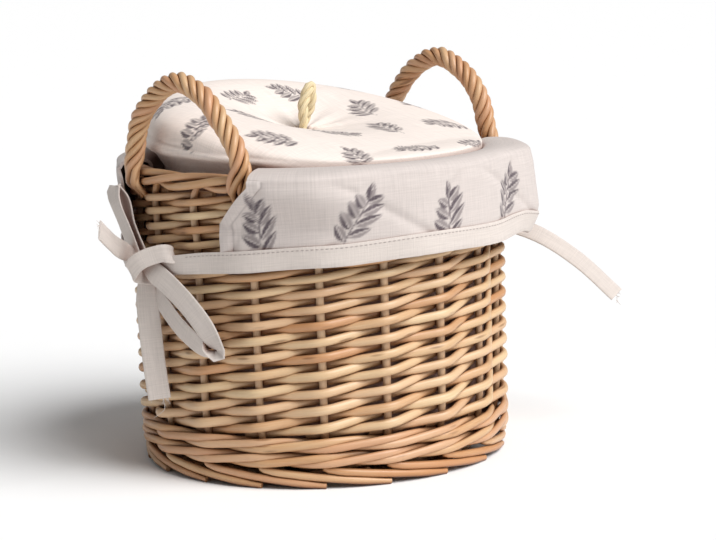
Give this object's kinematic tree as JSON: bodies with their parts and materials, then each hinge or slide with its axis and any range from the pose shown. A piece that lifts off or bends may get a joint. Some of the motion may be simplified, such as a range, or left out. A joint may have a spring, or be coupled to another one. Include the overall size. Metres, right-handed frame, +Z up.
{
  "type": "lined wicker potato basket",
  "caption": "Round woven willow basket with twisted willow handles, a cloth liner folded over the rim and tied with bows, and a domed padded lid with a rope pull.",
  "frame": {"origin": "on the floor under the middle of the basket, at the basket's own axis", "axes": "+Z up; the handles stand over the X axis with the right handle at +X; the front flap of the liner faces -Y"},
  "size_m": [0.4085, 0.3047, 0.293],
  "materials": {
    "willow": "buff willow, smooth bark-free rods",
    "willow_weaver": "buff willow, smooth bark-free rods",
    "linen": "printed linen blend, matt",
    "linen_tape": "plain linen tape, matt",
    "lid_linen": "printed linen blend, matt",
    "filling": "loose fibre wadding",
    "straw_rope": "twisted straw rope"
  },
  "bodies": {
    "basket": {"stake_01": "willow", "stake_02": "willow", "stake_03": "willow", "stake_04": "willow", "stake_05": "willow", "stake_06": "willow", "stake_07": "willow", "stake_08": "willow", "stake_09": "willow", "stake_10": "willow", "stake_11": "willow", "stake_12": "willow", "stake_13": "willow", "stake_14": "willow", "stake_15": "willow", "stake_16": "willow", "stake_17": "willow", "stake_18": "willow", "weaver_01": "willow_weaver", "weaver_02": "willow_weaver", "weaver_03": "willow_weaver", "weaver_04": "willow_weaver", "weaver_05": "willow_weaver", "weaver_06": "willow_weaver", "weaver_07": "willow_weaver", "weaver_08": "willow_weaver", "weaver_09": "willow_weaver", "weaver_10": "willow_weaver", "weaver_11": "willow_weaver", "weaver_12": "willow_weaver", "weaver_13": "willow_weaver", "weaver_14": "willow_weaver", "weaver_15": "willow_weaver", "weaver_16": "willow_weaver", "weaver_17": "willow_weaver", "weaver_18": "willow_weaver", "wale_rod_1": "willow", "wale_rod_2": "willow", "wale_rod_3": "willow", "base_stick_along_1": "willow", "base_stick_along_2": "willow", "base_stick_along_3": "willow", "base_stick_across_1": "willow", "base_stick_across_2": "willow", "base_stick_across_3": "willow", "base_weaver_1": "willow_weaver", "base_weaver_2": "willow_weaver", "handle_left": "willow", "handle_right": "willow", "liner_bag": "linen", "flap_front": "linen", "flap_back": "linen", "binding_front": "linen_tape", "binding_back": "linen_tape", "bow_left": "linen_tape", "bow_right": "linen_tape"},
    "lid": {"lid_pad": "filling", "lid_top_cover": "lid_linen", "lid_base_cover": "linen", "lid_rope_pull": "straw_rope"}
  },
  "joints": [
    {"name": "lid_lift", "type": "slide", "parent": "basket", "child": "lid", "axis": [0, 0, 1], "range_m": [0, 0.12]}
  ]
}
